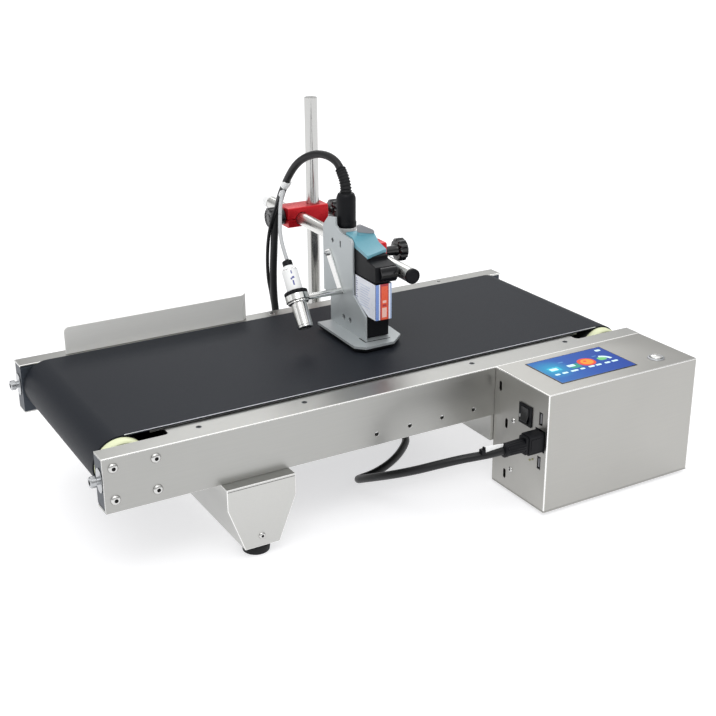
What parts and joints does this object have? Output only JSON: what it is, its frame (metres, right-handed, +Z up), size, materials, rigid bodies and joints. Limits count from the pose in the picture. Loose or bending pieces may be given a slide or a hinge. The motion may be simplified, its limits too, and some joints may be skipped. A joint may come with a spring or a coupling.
{
  "type": "date code inkjet printer",
  "caption": "Bench date coding line: a belt conveyor with its control box, and a cartridge print head and product sensor clamped to a rod and pole over the belt.",
  "frame": {"origin": "on the table under the middle of the machine, cords left out", "axes": "+X along the conveyor from the tail roller to the drive roller, +Y from the control box side to the pole side, +Z up"},
  "size_m": [0.581, 0.4864, 0.335],
  "materials": {
    "stainless_sheet": "fine brushed, satin",
    "bare_steel": "machined steel, satin",
    "polished_steel": "polished, mirror-like",
    "cast_alloy": "machined, satin",
    "bracket_metal": "pale grey, satin",
    "dark_steel": "dark grey-blue, satin",
    "belt": "smooth dark grey PVC, semi-matt",
    "black_rubber": "matt black",
    "cable_jacket": "black PVC, satin",
    "black_plastic": "fine moulded, satin",
    "red_anodised": "red anodised aluminium, satin",
    "teal_plastic": "teal, semi-gloss",
    "roller_yellow": "pale yellow, slightly translucent",
    "label_white": "printed paper label over plastic",
    "screen": "lit blue display behind glass",
    "board_green": "green circuit board"
  },
  "bodies": {
    "machine": {"front_rail": "stainless_sheet", "back_rail": "stainless_sheet", "slider_bed": "stainless_sheet", "bed_frame": "bare_steel", "tail_block_front": "dark_steel", "tail_block_back": "dark_steel", "drive_block_front": "dark_steel", "drive_block_back": "dark_steel", "conveyor_belt": "belt", "guide_plate": "stainless_sheet", "left_support": "stainless_sheet", "right_support": "stainless_sheet", "foot_front_left": "black_rubber", "foot_back_left": "black_rubber", "foot_back_right": "black_rubber", "pole_bracket": "stainless_sheet", "pole": "polished_steel", "control_box_cover": "stainless_sheet", "control_box_base": "stainless_sheet", "box_pad": "black_rubber", "touch_screen": "screen", "rocker_housing": "black_plastic", "port_board": "board_green", "control_board": "board_green", "power_supply": "cast_alloy", "drive_motor": "dark_steel", "timing_belt": "black_rubber", "box_plug": "black_plastic", "head_cable_drop": "cable_jacket", "sensor_lead_drop": "cable_jacket"},
    "drive_roller_set": {"drive_roller": "cast_alloy", "drive_cap_front": "roller_yellow", "drive_cap_back": "roller_yellow", "driven_pulley": "cast_alloy"},
    "tail_roller_set": {"tail_roller": "cast_alloy", "tail_cap_front": "roller_yellow", "tail_cap_back": "roller_yellow"},
    "motor_shaft": {"motor_pulley": "cast_alloy"},
    "bolt_front": {"tension_bolt_front": "bare_steel"},
    "bolt_back": {"tension_bolt_back": "bare_steel"},
    "button": {"push_button": "polished_steel"},
    "rocker": {"power_rocker": "black_plastic"},
    "clamp": {"cross_clamp": "red_anodised"},
    "pole_knob": {"pole_knob": "black_plastic"},
    "rod_knob": {"rod_knob": "black_plastic"},
    "print_head": {"rod": "polished_steel", "rod_cap_front": "black_plastic", "head_clamp": "red_anodised", "head_bracket": "bracket_metal", "skid_plate": "black_plastic", "pen_stall": "black_plastic", "head_plug": "black_plastic", "head_cable_loop": "cable_jacket", "sensor_lead_loop": "cable_jacket"},
    "head_knob": {"head_knob": "black_plastic"},
    "latch": {"latch": "teal_plastic"},
    "cartridge": {"cartridge": "label_white"},
    "sensor_set": {"sensor_arm": "polished_steel", "sensor": "polished_steel", "sensor_lead_root": "cable_jacket"}
  },
  "joints": [
    {"name": "drive_spin", "type": "hinge", "parent": "machine", "child": "drive_roller_set", "pos_m": [0.26395, -0.0327, 0.1005], "axis": [0, 1, 0], "continuous": true},
    {"name": "tail_spin", "type": "hinge", "parent": "machine", "child": "tail_roller_set", "pos_m": [-0.25545, -0.0327, 0.1005], "axis": [0, 1, 0], "continuous": true},
    {"name": "motor_spin", "type": "hinge", "parent": "machine", "child": "motor_shaft", "pos_m": [0.22625, -0.1787, 0.034], "axis": [0, 1, 0], "continuous": true},
    {"name": "tension_front", "type": "hinge", "parent": "machine", "child": "bolt_front", "pos_m": [-0.28195, -0.1517, 0.1005], "axis": [1, 0, 0], "range_deg": [-360, 360]},
    {"name": "tension_back", "type": "hinge", "parent": "machine", "child": "bolt_back", "pos_m": [-0.28195, 0.0863, 0.1005], "axis": [1, 0, 0], "range_deg": [-360, 360]},
    {"name": "button_press", "type": "slide", "parent": "machine", "child": "button", "axis": [0, 0, -1], "range_m": [0, 0.0015], "stiffness_N_per_m": 400, "springref_m": -0.0005},
    {"name": "rocker_tip", "type": "hinge", "parent": "machine", "child": "rocker", "pos_m": [0.11325, -0.2106, 0.092], "axis": [0, 1, 0], "range_deg": [-16, 0]},
    {"name": "clamp_lift", "type": "slide", "parent": "machine", "child": "clamp", "axis": [0, 0, 1], "range_m": [0, 0.1]},
    {"name": "pole_knob_turn", "type": "hinge", "parent": "clamp", "child": "pole_knob", "pos_m": [0.10424, 0.1627, 0.2053], "axis": [0.9994, -0.0349, 0], "range_deg": [-180, 180]},
    {"name": "rod_knob_turn", "type": "hinge", "parent": "clamp", "child": "rod_knob", "pos_m": [0.04428, 0.16479, 0.2053], "axis": [0.9994, -0.0349, 0], "range_deg": [-180, 180]},
    {"name": "rod_slide", "type": "slide", "parent": "clamp", "child": "print_head", "axis": [0.0349, 0.9994, 0], "range_m": [-0.05, 0]},
    {"name": "head_knob_turn", "type": "hinge", "parent": "print_head", "child": "head_knob", "pos_m": [0.08225, -0.00864, 0.2035], "axis": [0.9994, -0.0349, 0], "range_deg": [-180, 180]},
    {"name": "latch_open", "type": "hinge", "parent": "print_head", "child": "latch", "pos_m": [0.04078, -0.0212, 0.221], "axis": [-0.9994, 0.0349, 0], "range_deg": [0, 45]},
    {"name": "cartridge_pull", "type": "slide", "parent": "print_head", "child": "cartridge", "axis": [-0.0349, -0.9994, 0], "range_m": [0, 0.055]},
    {"name": "sensor_swing", "type": "hinge", "parent": "print_head", "child": "sensor_set", "pos_m": [0.02616, 0.01863, 0.203], "axis": [0.9994, -0.0349, 0], "range_deg": [-35, 15]}
  ],
  "couplings": [
    {"joint": "tail_spin", "follows": "drive_spin", "ratio": 1},
    {"joint": "motor_spin", "follows": "drive_spin", "ratio": 1.5}
  ]
}
